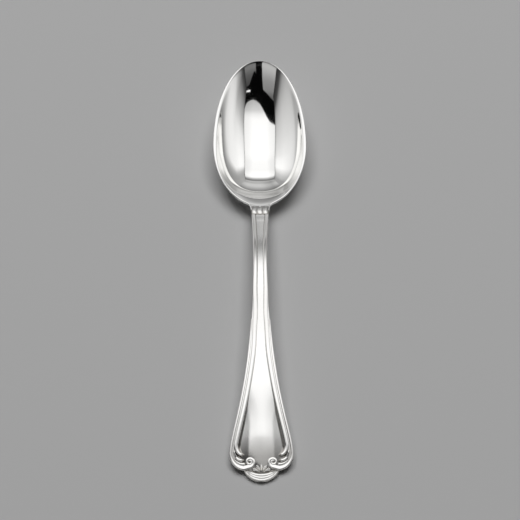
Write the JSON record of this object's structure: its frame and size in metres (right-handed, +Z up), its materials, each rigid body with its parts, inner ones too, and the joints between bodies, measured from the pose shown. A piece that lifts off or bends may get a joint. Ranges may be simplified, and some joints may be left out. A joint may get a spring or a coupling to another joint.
{
  "type": "child spoon",
  "caption": "Polished silver-plated child's table spoon with an egg-shaped bowl and an arched handle, its edge threads ending in scrolls round a palmette.",
  "frame": {"origin": "on the table, under the middle of the spoon's box", "axes": "+Y along the spoon from the handle's end to the bowl's tip, +Z up out of the hollow, +X to the right seen from the handle's end"},
  "size_m": [0.0348, 0.16, 0.0181],
  "materials": {
    "bowl_silver": "polished",
    "handle_silver": "polished",
    "relief_silver": "polished"
  },
  "bodies": {
    "root": {"bowl": "bowl_silver", "handle": "handle_silver", "neck_collar": "relief_silver", "palmette": "relief_silver", "lobe_moulding": "relief_silver", "outer_thread_left": "relief_silver", "outer_thread_right": "relief_silver", "inner_thread_left": "relief_silver", "inner_thread_right": "relief_silver", "upper_leaf_left": "relief_silver", "upper_leaf_right": "relief_silver", "lower_leaf_left": "relief_silver", "lower_leaf_right": "relief_silver"}
  },
  "joints": []
}
